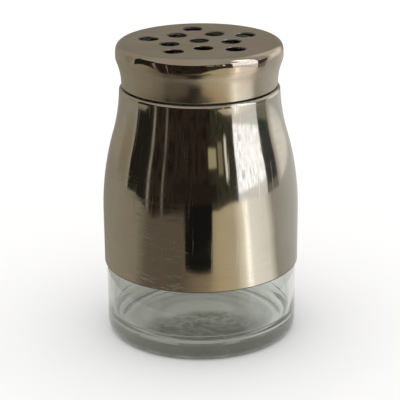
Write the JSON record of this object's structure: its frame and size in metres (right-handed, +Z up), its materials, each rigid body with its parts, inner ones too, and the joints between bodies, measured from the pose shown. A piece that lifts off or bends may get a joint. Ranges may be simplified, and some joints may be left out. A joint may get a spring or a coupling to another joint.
{
  "type": "spice shaker",
  "caption": "Round glass table shaker in a bonded steel sleeve, with a steel screw cap pierced by sprinkle holes",
  "frame": {"origin": "centre of the foot, in the plane that the jar stands on", "axes": "+Z up along the jar's axis, +X to the viewer's right, +Y away from the viewer"},
  "size_m": [0.065, 0.065, 0.0988],
  "materials": {
    "clear_glass": "clear soda-lime glass, fire-polished, faint green in thick places",
    "sleeve_steel": "polished stainless steel with fine handling scratches",
    "cap_steel": "polished stainless steel, satin on the flat top",
    "insert_plastic": "moulded black polypropylene",
    "liner_silicone": "white silicone washer",
    "bond_silicone": "cured silicone adhesive"
  },
  "bodies": {
    "jar": {"glass_jar": "clear_glass", "steel_sleeve": "sleeve_steel", "sleeve_bond": "bond_silicone"},
    "liner": {"cap_liner": "liner_silicone"},
    "cap": {"cap_shell": "cap_steel", "threaded_insert": "insert_plastic"}
  },
  "joints": [
    {"name": "cap_rise", "type": "slide", "parent": "jar", "child": "liner", "axis": [0, 0, 1], "range_m": [0, 0.0212]},
    {"name": "cap_turn", "type": "hinge", "parent": "liner", "child": "cap", "pos_m": [0, 0, 0.0844], "axis": [0, 0, 1], "range_deg": [0, 1800]}
  ],
  "couplings": [
    {"joint": "cap_rise", "follows": "cap_turn", "m_per_rad": 0.0006737}
  ]
}
